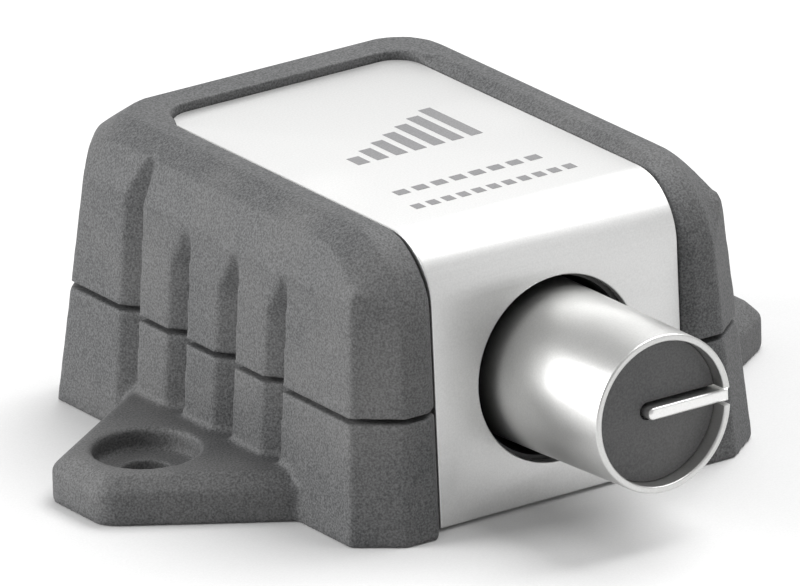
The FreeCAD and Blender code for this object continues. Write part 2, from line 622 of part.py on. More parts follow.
def pot_can():
    inside = rod(POT_R - POT_SKIN, POT_SKIN - POT_BACK, 1 - POT_CAN)
    body = on_axis(rod(POT_R, -POT_BACK, -POT_CAN).cut(inside))
    return body.cut([lug_box(x, TERMINAL_GAP) for x in TERMINAL_X])


def lug_box(x, grow):
    """One flat lug from inside the can to the board's pad, grown all round by grow."""
    rear = FRONT_Y + POT_BACK + LEAN * KNOB_Z
    half = TERMINAL_WIDTH / 2 + grow
    return box(x - half, x + half, rear - 2 * POT_SKIN, BOARD_FRONT + TERMINAL_ON_BOARD, BOARD_TOP - grow,
               BOARD_TOP + TERMINAL_THICK + grow)


def pot_washer():
    hole = BUSHING_R + BUSHING_HOLE_GAP
    return on_axis(ring(hole + WASHER_WIDTH, hole, -WELL_DEPTH, -WELL_DEPTH + WASHER_THICK))


def pot_nut():
    low = -WELL_DEPTH + WASHER_THICK
    corner = (BUSHING_R + NUT_WALL) / math.cos(math.pi / 6)
    points = [(corner * math.cos(math.radians(60 * k)), corner * math.sin(math.radians(60 * k)), low)
              for k in range(6)]
    body = prism(points, (0, 0, NUT_THICK))
    return on_axis(body.cut(rod(BUSHING_R, low - 1, low + NUT_THICK + 1)))


def shaft_clip():
    high = -POT_CAN - STACK_GAP
    return on_axis(ring(SHAFT_R + CLIP_WIDTH, SHAFT_R, high - CLIP_THICK, high))


def track_high():
    return -POT_CAN - CLIP_THICK - 2 * STACK_GAP


def pot_track():
    """Fixed disc that carries the resistance track."""
    high = track_high()
    return on_axis(ring(POT_R - POT_SKIN, SHAFT_R + TRACK_HOLE_GAP, high - TRACK_THICK, high))


def wiper_high():
    return track_high() - TRACK_THICK - STACK_GAP


def pot_wiper():
    high = wiper_high()
    return on_axis(ring(WIPER_R, SHAFT_R, high - WIPER_THICK, high))


def pot_shaft():
    low = wiper_high() - WIPER_THICK
    turn = HUB_GAP / 2 - BUSHING_FRONT
    return on_axis(fuse([rod(SHAFT_R, low, turn), d_rod(turn, SHAFT_FRONT)]))


def pot_terminals():
    """Three flat lugs from the back of the can to the board's pads."""
    return Part.makeCompound([lug_box(x, 0) for x in TERMINAL_X])


# ---------------------------------------------------------------- battery and cap

def battery_cap():
    plug = rod(CAP_PLUG_R, CAP_SUNK, CAP_PLUG_TOP)
    lugs = []
    for i in range(LUG_COUNT):
        lug = lug_sector(LUG_R, LUG_LOW, LUG_HIGH, LUG_DEG)
        lug.rotate(V(0, 0, 0), V(0, 0, 1), i * 360.0 / LUG_COUNT)
        lugs.append(lug)
    body = fuse([rod(CAP_FLANGE_R, CAP_SUNK, CAP_FLANGE_THICK), plug] + lugs)
    half = CAP_SLOT_LENGTH / 2
    slot = box(-half, half, -CAP_SLOT_WIDTH / 2, CAP_SLOT_WIDTH / 2, -1, CAP_SLOT_DEPTH)
    seat = Part.makeTorus(RING_R, RING_SECTION, V(0, 0, RING_Z))
    groove = ring(CAP_PLUG_R + 1, RING_R - RING_SECTION, RING_Z - RING_SECTION, RING_Z + RING_SECTION)
    body = body.cut([slot, groove, seat])
    body.translate(V(0, CELL_Y, 0))
    return body


def battery_cap_seal():
    return Part.makeTorus(RING_R, RING_SECTION, V(0, CELL_Y, RING_Z))


def battery_cell():
    """Coin cell: wide can below, narrower cap on top."""
    top = CELL_Z + CELL_THICK
    can = rod(CELL_R, CELL_Z, top - CELL_STEP_Z, 0, CELL_Y)
    return fuse([can, rod(CELL_R - CELL_STEP_R, CELL_Z, top, 0, CELL_Y)])


def battery_contact_negative():
    """Leaf under the board that presses on the cell's top."""
    under, cell_top, sheet = BOARD_Z, CELL_Z + CELL_THICK, CONTACT_SHEET
    half, start, bend_y, touch, end = 2.0, CELL_Y - 8.5, CELL_Y - 4.5, CELL_Y + 1, CELL_Y + 3
    side = [(start, under - sheet), (start, under), (bend_y, under), (touch, cell_top + sheet),
            (end, cell_top + sheet), (end, cell_top), (touch, cell_top), (bend_y, under - sheet)]
    return prism([(-half, y, z) for y, z in side], (2 * half, 0, 0))


def battery_contact_positive():
    """Side strip that hangs from the board beside the cell."""
    x, sheet, half, foot_length = CELL_R + CELL_GAP, CONTACT_SHEET, 2.5, 3.0
    strip = box(x, x + sheet, CELL_Y - half, CELL_Y + half, CELL_Z + 2 * sheet, BOARD_Z)
    foot = box(x, x + foot_length, CELL_Y - half, CELL_Y + half, BOARD_Z - sheet, BOARD_Z)
    return fuse([strip, foot])


# ---------------------------------------------------------------- board

def main_board():
    body = box(-BOARD_HALF, BOARD_HALF, BOARD_FRONT, BOARD_BACK, BOARD_Z, BOARD_TOP)
    notch = SCREW_POST_R + BOARD_NOTCH_GAP
    cuts = []
    for x, y in screw_places():
        side = math.copysign(1, x)
        if BOARD_FRONT < y < BOARD_BACK:
            inner, outer = sorted((x - side * notch, side * FAR))
            cuts.append(box(inner, outer, y - notch, y + notch, 0, FAR))
    cuts += [rod(BOARD_SCREW_R + BOARD_SCREW_GAP, 0, FAR, x, y) for x, y in board_places()]
    return body.cut(cuts)


def board_screws():
    length, head_r, head_high = 5.0, 1.7, 1.0
    parts = [[rod(BOARD_SCREW_R, BOARD_TOP - length, BOARD_TOP, x, y),
              rod(head_r, BOARD_TOP, BOARD_TOP + head_high, x, y)] for x, y in board_places()]
    return Part.makeCompound([fuse(p) for p in parts])


def rf_shield():
    """Folded metal can over the radio."""
    half, top, sheet = SHIELD_HALF, BOARD_TOP + SHIELD_HIGH, SHIELD_SHEET
    front = BOARD_FRONT + SHIELD_FROM_EDGE
    back = front + SHIELD_LENGTH
    inside = box(sheet - half, half - sheet, front + sheet, back - sheet, BOARD_TOP - 1, top - sheet)
    return box(-half, half, front, back, BOARD_TOP, top).cut(inside)


def controller_chip():
    front = BOARD_FRONT + CHIP_FROM_EDGE
    return box(-CHIP_SIDE / 2, CHIP_SIDE / 2, front, front + CHIP_SIDE, BOARD_TOP, BOARD_TOP + CHIP_HIGH)


def board_components():
    """Small surface-mounted pieces in two columns each side of the controller, and a crystal."""
    half_x, half_y, high = 0.9, 0.55, 0.8
    middle = BOARD_FRONT + CHIP_FROM_EDGE + CHIP_SIDE / 2
    places = [(s * (CHIP_SIDE / 2 + out), middle + row)
              for s in (-1, 1) for out in (3.5, 7.5) for row in (-3, 0, 3)]
    small = [box(x - half_x, x + half_x, y - half_y, y + half_y, BOARD_TOP, BOARD_TOP + high)
             for x, y in places]
    x, y = SHIELD_HALF + 2.5, BOARD_FRONT + SHIELD_FROM_EDGE
    return Part.makeCompound(small + [box(x, x + 3.5, y, y + 5.0, BOARD_TOP, BOARD_TOP + 1.4)])


def housing_screws():
    screws = []
    for x, y in screw_places():
        head = rod(SCREW_HEAD_R, SCREW_HEAD_SEAT - SCREW_HEAD_THICK, SCREW_HEAD_SEAT, x, y)
        shank = rod(SCREW_R, SCREW_HEAD_SEAT, SCREW_TIP_Z, x, y)
        low = SCREW_HEAD_SEAT - SCREW_HEAD_THICK
        slots = [box(x - a, x + a, y - b, y + b, low - 1, low + CROSS_DEPTH)
                 for a, b in ((CROSS_LENGTH / 2, CROSS_WIDTH / 2), (CROSS_WIDTH / 2, CROSS_LENGTH / 2))]
        screws.append(fuse([head, shank]).cut(slots))
    return Part.makeCompound(screws)


def build():
    walls = shell()
    return {
        "upper_housing": upper_housing(walls),
        "lower_housing": lower_housing(walls),
        "cover_plate": cover_plate(),
        "plate_adhesive": plate_adhesive(),
        "knob_well": knob_well(),
        "knob_barrel": knob_barrel(),
        "knob_core": knob_core(),
        "knob_cap": knob_cap(),
        "knob_pointer": knob_pointer(),
        "pot_shaft": pot_shaft(),
        "shaft_clip": shaft_clip(),
        "pot_wiper": pot_wiper(),
        "pot_bushing": pot_bushing(),
        "pot_washer": pot_washer(),
        "pot_nut": pot_nut(),
        "pot_can": pot_can(),
        "pot_track": pot_track(),
        "pot_terminals": pot_terminals(),
        "main_board": main_board(),
        "board_screws": board_screws(),
        "rf_shield": rf_shield(),
        "controller_chip": controller_chip(),
        "board_components": board_components(),
        "battery_cell": battery_cell(),
        "battery_contact_positive": battery_contact_positive(),
        "battery_contact_negative": battery_contact_negative(),
        "battery_cap": battery_cap(),
        "battery_cap_seal": battery_cap_seal(),
        "housing_screws": housing_screws(),
    }


os.makedirs("parts", exist_ok=True)
for name, shape in build().items():
    shape.exportStep("parts/" + name + ".step")
    box_ = shape.BoundBox
    print("%-26s solids %2d  valid %s  volume %9.1f  x %.1f..%.1f  y %.1f..%.1f  z %.1f..%.1f" % (
        name, len(shape.Solids), shape.isValid(), shape.Volume, box_.XMin, box_.XMax, box_.YMin, box_.YMax,
        box_.ZMin, box_.ZMax))
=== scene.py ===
# %% [markdown]
# # A wireless bass control remote
# The real thing is a small battery-powered knob box for a car. Two grained plastic mouldings meet at a
# dark parting line, a bent metal plate makes the top and the front, and a satin metal knob turns in a
# round well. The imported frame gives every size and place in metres, so the first step is to load it.

import json
import math

import bmesh
import bpy
from mathutils import Matrix, Vector


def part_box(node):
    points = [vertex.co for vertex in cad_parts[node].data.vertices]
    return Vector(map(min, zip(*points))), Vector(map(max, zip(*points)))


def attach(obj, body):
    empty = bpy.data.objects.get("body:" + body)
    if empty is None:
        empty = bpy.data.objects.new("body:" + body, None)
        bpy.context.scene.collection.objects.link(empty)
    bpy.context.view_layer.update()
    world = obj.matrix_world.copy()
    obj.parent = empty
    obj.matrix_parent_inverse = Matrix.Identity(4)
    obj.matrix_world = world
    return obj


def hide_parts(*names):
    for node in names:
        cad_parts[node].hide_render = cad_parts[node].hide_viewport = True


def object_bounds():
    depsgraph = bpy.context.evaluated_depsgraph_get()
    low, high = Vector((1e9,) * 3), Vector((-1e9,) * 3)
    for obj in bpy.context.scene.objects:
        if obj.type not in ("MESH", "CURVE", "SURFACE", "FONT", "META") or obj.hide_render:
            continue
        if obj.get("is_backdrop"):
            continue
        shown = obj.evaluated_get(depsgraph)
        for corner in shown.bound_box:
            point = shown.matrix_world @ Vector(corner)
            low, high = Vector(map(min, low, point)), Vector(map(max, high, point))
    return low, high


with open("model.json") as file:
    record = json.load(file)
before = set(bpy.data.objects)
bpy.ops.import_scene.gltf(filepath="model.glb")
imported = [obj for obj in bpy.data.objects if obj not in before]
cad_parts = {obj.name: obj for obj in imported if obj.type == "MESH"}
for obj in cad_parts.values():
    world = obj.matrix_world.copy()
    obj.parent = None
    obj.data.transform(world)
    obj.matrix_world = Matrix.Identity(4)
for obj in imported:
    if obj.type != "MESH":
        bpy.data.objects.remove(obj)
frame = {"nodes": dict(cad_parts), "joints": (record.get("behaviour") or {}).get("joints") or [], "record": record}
frame_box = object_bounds()

MM = 0.001
joints = {j["name"]: j for j in frame["joints"]}
slots = {part["node"]: part["material_slot"] for part in frame["record"]["subparts"]}
plate_low, plate_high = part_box("cover_plate")
knob_centre = Vector(joints["knob_turn"]["pos_m"])
knob_axis = Vector(joints["knob_turn"]["axis"]).normalized()
lean = math.asin(knob_axis.z)
print("pieces in the frame:", len(frame["nodes"]))
print("the front leans back", round(math.degrees(lean), 2), "degrees")

# %% [markdown]
# ## The camera
# A small object pictured from far away with a long lens keeps its parallel edges almost parallel. The
# camera could be aimed with a tracking constraint, but a rotation built from three angles is exact and
# needs no helper object: azimuth round the object, elevation above it, and a slight roll.

# %% Place the camera
CAMERA_AZIMUTH, CAMERA_ELEVATION, CAMERA_ROLL = 34.361, 20.668, -1.401   # degrees
CAMERA_TARGET = Vector((-19.241, -26.7, 26.415)) * MM
CAMERA_DISTANCE = 1598.79 * MM
CAMERA_LENS = 728.4

azimuth, elevation, roll = (math.radians(d) for d in (CAMERA_AZIMUTH, CAMERA_ELEVATION, CAMERA_ROLL))
back = Vector((-math.sin(azimuth) * math.cos(elevation), -math.cos(azimuth) * math.cos(elevation),
               math.sin(elevation)))
right = Vector((math.cos(azimuth), -math.sin(azimuth), 0))
up = back.cross(right)
rolled_right = math.cos(roll) * right + math.sin(roll) * up
rolled_up = -math.sin(roll) * right + math.cos(roll) * up
camera_data = bpy.data.cameras.new("camera")
camera_data.lens, camera_data.sensor_width = CAMERA_LENS, 36.0
camera_data.clip_start, camera_data.clip_end = 0.05, 50.0
camera = bpy.data.objects.new("camera", camera_data)
camera.matrix_world = (Matrix.Translation(CAMERA_TARGET + CAMERA_DISTANCE * back)
                       @ Matrix((rolled_right, rolled_up, back)).transposed().to_4x4())
bpy.context.scene.collection.objects.link(camera)
bpy.context.scene.camera = camera
print("camera", [round(c, 3) for c in camera.location], "lens", CAMERA_LENS)

# %% [markdown]
# ## Floor and light
# A product picture wants a pale floor and large soft lights. One broad lamp overhead brightens the
# plate's bend, and one to the left and back shapes the dark plastic. A weak one behind stands where the
# plate's top mirrors it, and another on the right lights the floor that the front mirrors. An even white
# surround fills the rest. Large area lamps were chosen over point lamps because their edges are soft.

# %% Floor, surround and lamps
scene = bpy.context.scene
scene.view_settings.view_transform = "Standard"


def link(obj):
    scene.collection.objects.link(obj)
    return obj


def flat_floor(size, drop):
    """Square floor, a hair below the underside so that the two faces never lie in one plane."""
    mesh = bpy.data.meshes.new("floor")
    half = size / 2
    corners = [(-half, -half, -drop), (half, -half, -drop), (half, half, -drop), (-half, half, -drop)]
    mesh.from_pydata(corners, [], [(0, 1, 2, 3)])
    return link(bpy.data.objects.new("floor", mesh))


def soft_lamp(name, place, aim, size, watts):
    """Area lamp at a place, turned to face a point."""
    data = bpy.data.lights.new(name, "AREA")
    data.shape, data.size, data.energy = "SQUARE", size, watts
    lamp = link(bpy.data.objects.new(name, data))
    lamp.location = place
    lamp.rotation_euler = (Vector(aim) - Vector(place)).to_track_quat("-Z", "Y").to_euler()
    return lamp


FLOOR_SIZE, FLOOR_DROP = 6.0, 0.05 * MM
SURROUND_STRENGTH = 0.52
LAMP_AIM = (0, 0, 0.015)
LAMPS = {                                 # place, size and watts
    "lamp_top": ((0.34, 0.04, 0.66), 0.60, 6.6),
    "lamp_left": ((-0.72, 0.36, 0.30), 0.45, 7.8),
    "lamp_back": ((0.60, 0.90, 0.42), 0.80, 0.8),
    "lamp_right": ((0.55, -0.90, 0.30), 0.60, 0.75),
}

floor = flat_floor(FLOOR_SIZE, FLOOR_DROP)
floor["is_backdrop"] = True
world = bpy.data.worlds.new("surround")
scene.world = world
world.use_nodes = True
world.node_tree.nodes["Background"].inputs["Color"].default_value = (1, 1, 1, 1)
world.node_tree.nodes["Background"].inputs["Strength"].default_value = SURROUND_STRENGTH
for name, (place, size, watts) in LAMPS.items():
    soft_lamp(name, place, LAMP_AIM, size, watts)

# %% [markdown]
# ## Effects that several finishes share
# Moulded plastic has a fine spark-eroded grain, metal has a satin or turned texture, corners get a painted
# highlight that lightens them, and everything gathers a little dust. Each effect could be copied into every
# material. A shader node group is better: it is built once, has named inputs, and each material sets its own
# values. A group gives out heights, tones and masks only, and the shader itself stays in the material.

# %% A small helper that builds shader groups
def shader_group(name, inputs, outputs):
    """New shader node group with named float inputs and outputs. Returns tree, input node, output node."""
    tree = bpy.data.node_groups.new(name, "ShaderNodeTree")
    for socket, value in inputs.items():
        tree.interface.new_socket(socket, in_out="INPUT", socket_type="NodeSocketFloat").default_value = value
    for socket in outputs:
        tree.interface.new_socket(socket, in_out="OUTPUT", socket_type="NodeSocketFloat")
    return tree, tree.nodes.new("NodeGroupInput"), tree.nodes.new("NodeGroupOutput")


def add(tree, kind, links=None, **values):
    """New node; values are set on sockets or properties, links join outputs to its inputs."""
    node = tree.nodes.new(kind)
    for key, value in values.items():
        if hasattr(node, key):
            setattr(node, key, value)
        else:
            node.inputs[key.replace("_", " ")].default_value = value
    for key, output in (links or {}).items():
        tree.links.new(output, node.inputs[key])
    return node


def math_node(tree, operation, a, b):
    """One arithmetic step; a and b are outputs or numbers."""
    node = add(tree, "ShaderNodeMath", operation=operation)
    for index, value in enumerate((a, b)):
        if isinstance(value, (int, float)):
            node.inputs[index].default_value = value
        else:
            tree.links.new(value, node.inputs[index])
    return node.outputs[0]


# %% Moulded grain: a fine pebbled height and light and dark flecks
def build_moulded_grain():
    tree, given, out = shader_group("moulded_grain", {"Grain Scale": 4200.0, "Fleck Scale": 4800.0},
                                    ["Height", "Fleck"])
    place = add(tree, "ShaderNodeTexCoord").outputs["Object"]
    pebbles = add(tree, "ShaderNodeTexVoronoi", {"Vector": place, "Scale": given.outputs["Grain Scale"]},
                  feature="SMOOTH_F1")
    fine = add(tree, "ShaderNodeTexNoise", {"Vector": place, "Scale": given.outputs["Fleck Scale"]},
               Detail=2.0)
    height = math_node(tree, "ADD", pebbles.outputs["Distance"], fine.outputs["Fac"])
    tree.links.new(height, out.inputs["Height"])
    fleck = add(tree, "ShaderNodeMapRange", {"Value": fine.outputs["Fac"]}, From_Min=0.33, From_Max=0.67)
    tree.links.new(fleck.outputs["Result"], out.inputs["Fleck"])
    return tree


# %% Painted edge highlight: a mask that is strong where the surface turns a corner
def build_painted_edge_highlight():
    tree, given, out = shader_group("edge_wear", {"Start": 0.52, "Full": 0.60, "Breakup Scale": 900.0},
                                    ["Mask"])
    # Painted highlight: Pointiness picks out the corners, which the plastic recipe then lightens as if light
    # caught them
    bend = add(tree, "ShaderNodeNewGeometry").outputs["Pointiness"]
    edge = add(tree, "ShaderNodeMapRange", {"Value": bend, "From Min": given.outputs["Start"],
                                            "From Max": given.outputs["Full"]})
    place = add(tree, "ShaderNodeTexCoord").outputs["Object"]
    breakup = add(tree, "ShaderNodeTexNoise", {"Vector": place, "Scale": given.outputs["Breakup Scale"]},
                  Detail=4.0)
    mask = math_node(tree, "MULTIPLY", edge.outputs["Result"], breakup.outputs["Fac"])
    tree.links.new(mask, out.inputs["Mask"])
    return tree


# %% Satin metal: fine blasted pits, and streaks drawn out round an axis
def build_satin_metal():
    tree, given, out = shader_group("satin_metal", {"Pit Scale": 5200.0, "Streak Scale": 9000.0,
                                                    "Streak Share": 0.3}, ["Height", "Tone"])
    place = add(tree, "ShaderNodeTexCoord").outputs["Object"]
    pits = add(tree, "ShaderNodeTexNoise", {"Vector": place, "Scale": given.outputs["Pit Scale"]}, Detail=3.0)
    apart = add(tree, "ShaderNodeSeparateXYZ", {"Vector": place})
    along = math_node(tree, "MULTIPLY", apart.outputs["Y"], given.outputs["Streak Scale"])
    streak = add(tree, "ShaderNodeTexNoise", {"W": along}, noise_dimensions="1D", Scale=1.0, Detail=2.0)
    streaks = math_node(tree, "MULTIPLY", streak.outputs["Fac"], given.outputs["Streak Share"])
    height = math_node(tree, "ADD", pits.outputs["Fac"], streaks)
    tree.links.new(height, out.inputs["Height"])
    tree.links.new(height, out.inputs["Tone"])
    return tree


# %% Dust: large soft clouds that lighten and dull the surface
def build_dust():
    tree, given, out = shader_group("dust", {"Cloud Scale": 70.0, "Threshold": 0.45}, ["Mask"])
    place = add(tree, "ShaderNodeTexCoord").outputs["Object"]
    cloud = add(tree, "ShaderNodeTexNoise", {"Vector": place, "Scale": given.outputs["Cloud Scale"]},
                Detail=6.0)
    mask = add(tree, "ShaderNodeMapRange", {"Value": cloud.outputs["Fac"],
                                            "From Min": given.outputs["Threshold"]}, From_Max=0.75)
    tree.links.new(mask.outputs["Result"], out.inputs["Mask"])
    return tree


moulded_grain, edge_wear = build_moulded_grain(), build_painted_edge_highlight()
satin_metal, dust = build_satin_metal(), build_dust()
print("shared effects:", [g.name for g in bpy.data.node_groups])

# %% [markdown]
# ## The finishes
# Every finish here is either grained or matt, like plastic, rubber and ink, or a satin metal. Two recipes
# cover them all, with other values for each. The colours vary a little with the flecks and the dust, the
# roughness varies with them, and the grain reaches the Normal through a Bump node, so light breaks up on
# it as it does on the real surface.

# %% Two recipes
GRAIN_DEPTH, PIT_DEPTH = 0.05 * MM, 0.02 * MM
DUST_COLOUR = (0.34, 0.33, 0.32)
HIGHLIGHT_GAIN, HIGHLIGHT_LIFT = 2.2, 0.03      # how much lighter a corner's painted highlight is than the light colour
METAL_DUST, METAL_TONE = 0.06, 0.10       # how far dust and tone roughen a metal
METAL_CLOUDS = 45.0                       # dust clouds to the metre


def new_material(name):
    material = bpy.data.materials.new(name)
    material.use_nodes = True
    tree = material.node_tree
    return material, tree, tree.nodes["Principled BSDF"]


def use_group(tree, group, **values):
    node = add(tree, "ShaderNodeGroup", node_tree=group)
    for key, value in values.items():
        node.inputs[key.replace("_", " ")].default_value = value
    return node


def mix_colours(tree, fac, dark, light):
    """Colour between two, each a triple or a colour output."""
    node = add(tree, "ShaderNodeMix", {"Factor": fac}, data_type="RGBA")
    for socket, value in ((node.inputs[6], dark), (node.inputs[7], light)):
        if isinstance(value, tuple):
            socket.default_value = (*value, 1)
        else:
            tree.links.new(value, socket)
    return node.outputs[2]


def bump(tree, shader, height, strength, distance):
    node = add(tree, "ShaderNodeBump", {"Height": height}, Strength=strength, Distance=distance)
    tree.links.new(node.outputs["Normal"], shader.inputs["Normal"])


def grained_plastic(name, dark, light, rough, grain=0.35, highlight_share=0.5, dusty=0.15, grain_scale=4200.0):
    """Moulded plastic: pebbled grain, flecks, a painted highlight on corners and a little dust."""
    material, tree, shader = new_material(name)
    texture = use_group(tree, moulded_grain, Grain_Scale=grain_scale)
    colour = mix_colours(tree, texture.outputs["Fleck"], dark, light)
    # Painted highlight: corners are mixed toward a lighter colour, standing in for light catching the edges
    painted_highlight = math_node(tree, "MULTIPLY", use_group(tree, edge_wear).outputs["Mask"], highlight_share)
    colour = mix_colours(tree, painted_highlight, colour, tuple(min(1.0, HIGHLIGHT_GAIN * c + HIGHLIGHT_LIFT) for c in light))
    cloud = math_node(tree, "MULTIPLY", use_group(tree, dust).outputs["Mask"], dusty)
    colour = mix_colours(tree, cloud, colour, DUST_COLOUR)
    tree.links.new(colour, shader.inputs["Base Color"])
    tree.links.new(math_node(tree, "ADD", cloud, rough), shader.inputs["Roughness"])
    bump(tree, shader, texture.outputs["Height"], grain, GRAIN_DEPTH)
    return material


def satin_finish(name, dark, light, rough, texture_strength=0.15, pit_scale=5200.0, streak_share=0.3):
    """Blasted, brushed or turned metal."""
    material, tree, shader = new_material(name)
    shader.inputs["Metallic"].default_value = 1.0
    texture = use_group(tree, satin_metal, Pit_Scale=pit_scale, Streak_Share=streak_share)
    colour = mix_colours(tree, texture.outputs["Tone"], dark, light)
    tree.links.new(colour, shader.inputs["Base Color"])
    cloud = math_node(tree, "MULTIPLY", use_group(tree, dust, Cloud_Scale=METAL_CLOUDS).outputs["Mask"],
                      METAL_DUST)
    tone = math_node(tree, "MULTIPLY", texture.outputs["Tone"], METAL_TONE)
    roughness = math_node(tree, "ADD", math_node(tree, "ADD", tone, cloud), rough)
    tree.links.new(roughness, shader.inputs["Roughness"])
    bump(tree, shader, texture.outputs["Height"], texture_strength, PIT_DEPTH)
    return material


# %% One finish for each material slot, and one for the ink
# Each row holds the dark and the light colour, then the recipe's other values in its own order.
plastics = {
    "housing_plastic": ((0.030, 0.031, 0.032), (0.108, 0.109, 0.111), 0.62, 0.35, 0.10),
    "black_plastic": ((0.012, 0.012, 0.012), (0.020, 0.020, 0.021), 0.45, 0.15, 0.2),
    "cap_plastic": ((0.048, 0.048, 0.049), (0.082, 0.082, 0.083), 0.52, 0.25, 0.1),
    "adhesive": ((0.55, 0.55, 0.50), (0.65, 0.65, 0.60), 0.50, 0.05, 0.0, 0.1),
    "phenolic": ((0.16, 0.07, 0.03), (0.24, 0.11, 0.05), 0.50, 0.10, 0.0, 0.1),
    "board_laminate": ((0.010, 0.085, 0.035), (0.016, 0.12, 0.05), 0.30, 0.05, 0.0, 0.1),
    "chip_plastic": ((0.012, 0.012, 0.013), (0.022, 0.022, 0.023), 0.55, 0.10, 0.0, 0.1),
    "ceramic": ((0.36, 0.25, 0.15), (0.48, 0.36, 0.24), 0.55, 0.06, 0.0, 0.1),
    "seal_rubber": ((0.010, 0.010, 0.010), (0.018, 0.018, 0.018), 0.70, 0.10, 0.0, 0.2),
    "plate_ink": ((0.150, 0.150, 0.153), (0.200, 0.200, 0.205), 0.60, 0.05, 0.0),
}
metals = {
    "plate_metal": ((0.58, 0.58, 0.575), (0.75, 0.75, 0.745), 0.38),
    "knob_metal": ((0.52, 0.52, 0.51), (0.68, 0.68, 0.67), 0.30, 0.10),
    "pointer_metal": ((0.72, 0.72, 0.71), (0.88, 0.88, 0.87), 0.24, 0.08),
    "steel": ((0.42, 0.43, 0.44), (0.62, 0.63, 0.65), 0.30, 0.12),
    "cell_steel": ((0.55, 0.55, 0.56), (0.72, 0.72, 0.73), 0.18, 0.05),
    "contact_metal": ((0.62, 0.60, 0.55), (0.78, 0.76, 0.70), 0.25, 0.06),
    "nickel_brass": ((0.55, 0.47, 0.30), (0.75, 0.66, 0.45), 0.26, 0.10),
}
finishes = {name: grained_plastic(name, *values) for name, values in plastics.items()}
finishes.update({name: satin_finish(name, *values) for name, values in metals.items()})
floor_paint = grained_plastic("floor_paint", (0.64, 0.64, 0.64), (0.67, 0.67, 0.67), 0.80, 0.02, 0.0, 0.02,
                              400.0)
floor.data.materials.append(floor_paint)
for node, obj in frame["nodes"].items():
    obj.data.materials.clear()
    obj.data.materials.append(finishes[slots[node]])
print("finishes:", len(finishes))

# %% [markdown]
# ## The two mouldings
# The CAD mouldings have sharp edges, and the real ones are soft everywhere, because the toolmaker rounds
# each corner. A Bevel modifier could round them, but it stumbles where flutes, facets and the bent rim
# meet in slivers. A voxel remesh of a merged copy, then smoothing, rounds every edge alike whatever meets
# there, and a Decimate modifier then thins the mesh.

# %% Helpers that copy a CAD node and put a finished piece in its place
def merged_copy(node):
    """Copy of a CAD node's mesh with its loose triangles joined up."""
    mesh = frame["nodes"][node].data.copy()
    shell = bmesh.new()
    shell.from_mesh(mesh)
    bmesh.ops.remove_doubles(shell, verts=shell.verts, dist=0.001 * MM)
    shell.to_mesh(mesh)
    shell.free()
    return mesh


def baked(obj):
    """Replace an object's modifiers by the mesh that they make."""
    depsgraph = bpy.context.evaluated_depsgraph_get()
    mesh = bpy.data.meshes.new_from_object(obj.evaluated_get(depsgraph))
    obj.modifiers.clear()
    obj.data = mesh
    return obj


def stand_for(obj, body, *nodes):
    """Put a finished piece on its body, in the place and the finish of the CAD nodes that it stands for."""
    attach(obj, body)
    if nodes:
        slot = slots[nodes[0]]
        obj.data.materials.clear()
        obj.data.materials.append(finishes[slot])
        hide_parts(*nodes)
    print(obj.name, "rides on", body, "with", len(obj.data.polygons), "faces")
    return obj


# %% Soften the two mouldings
SOFT_VOXEL = 0.30 * MM
SOFT_ROUNDS = 6
FACES_KEPT = 0.45


def softened(node):
    obj = link(bpy.data.objects.new(node + "_soft", merged_copy(node)))
    remesh = obj.modifiers.new("remesh", "REMESH")
    remesh.mode, remesh.voxel_size = "VOXEL", SOFT_VOXEL
    smooth = obj.modifiers.new("smooth", "SMOOTH")
    smooth.factor, smooth.iterations = 0.5, SOFT_ROUNDS
    thin = obj.modifiers.new("thin", "DECIMATE")
    thin.ratio = FACES_KEPT
    baked(obj)
    obj.data.shade_smooth()
    return obj


for node in ("upper_housing", "lower_housing"):
    stand_for(softened(node), "housing", node)

# %% [markdown]
# ## The cover plate and the battery cap
# The plate is one strip of aluminium bent over at the top of the front, and stamping leaves its edges a
# little round. The battery cap is a turned and slotted disc with a small lead-in on its rim. Both have
# clean long edges that meet at large angles, which is just what a Bevel modifier is good at.

# %% Round the edges of the plate and the cap
FLAT_WITHIN = math.radians(0.4)


def bevelled(node, width, segments, angle):
    """Copy of a node with every edge sharper than an angle rounded to a width in mm."""
    obj = link(bpy.data.objects.new(node + "_round", merged_copy(node)))
    shell = bmesh.new()
    shell.from_mesh(obj.data)
    bmesh.ops.dissolve_limit(shell, angle_limit=FLAT_WITHIN, verts=shell.verts, edges=shell.edges)
    shell.to_mesh(obj.data)
    shell.free()
    bevel = obj.modifiers.new("bevel", "BEVEL")
    bevel.width, bevel.segments = width * MM, segments
    bevel.limit_method, bevel.angle_limit = "ANGLE", math.radians(angle)
    bevel.harden_normals = True
    obj.data.shade_smooth()
    return baked(obj)


stand_for(bevelled("cover_plate", 0.40, 4, 40), "housing", "cover_plate")
stand_for(bevelled("battery_cap", 0.25, 3, 40), "battery_cap", "battery_cap")

# %% [markdown]
# ## Shapes that follow a rule
# A turned knob is one profile swept round an axis, a screw is another, and printed bars are one bar
# repeated with a growing height. Geometry Nodes hold such a rule well: the sizes are named inputs, so a
# longer knob or one more bar is a number, not new modelling. The trees end in Realize Instances and Set
# Material, and their result is turned into a plain mesh.

# %% Helpers for Geometry Nodes
def shape_tree(name, inputs):
    """New Geometry Nodes tree. inputs maps a name to a float, an int or a Vector."""
    kinds = {float: "NodeSocketFloat", int: "NodeSocketInt", Vector: "NodeSocketVector"}
    tree = bpy.data.node_groups.new(name, "GeometryNodeTree")
    tree.interface.new_socket("Geometry", in_out="OUTPUT", socket_type="NodeSocketGeometry")
    for socket, value in inputs.items():
        item = tree.interface.new_socket(socket, in_out="INPUT", socket_type=kinds[type(value)])
        item.default_value = value
    tree.interface.new_socket("Finish", in_out="INPUT", socket_type="NodeSocketMaterial")
    return tree, tree.nodes.new("NodeGroupInput").outputs, tree.nodes.new("NodeGroupOutput").inputs


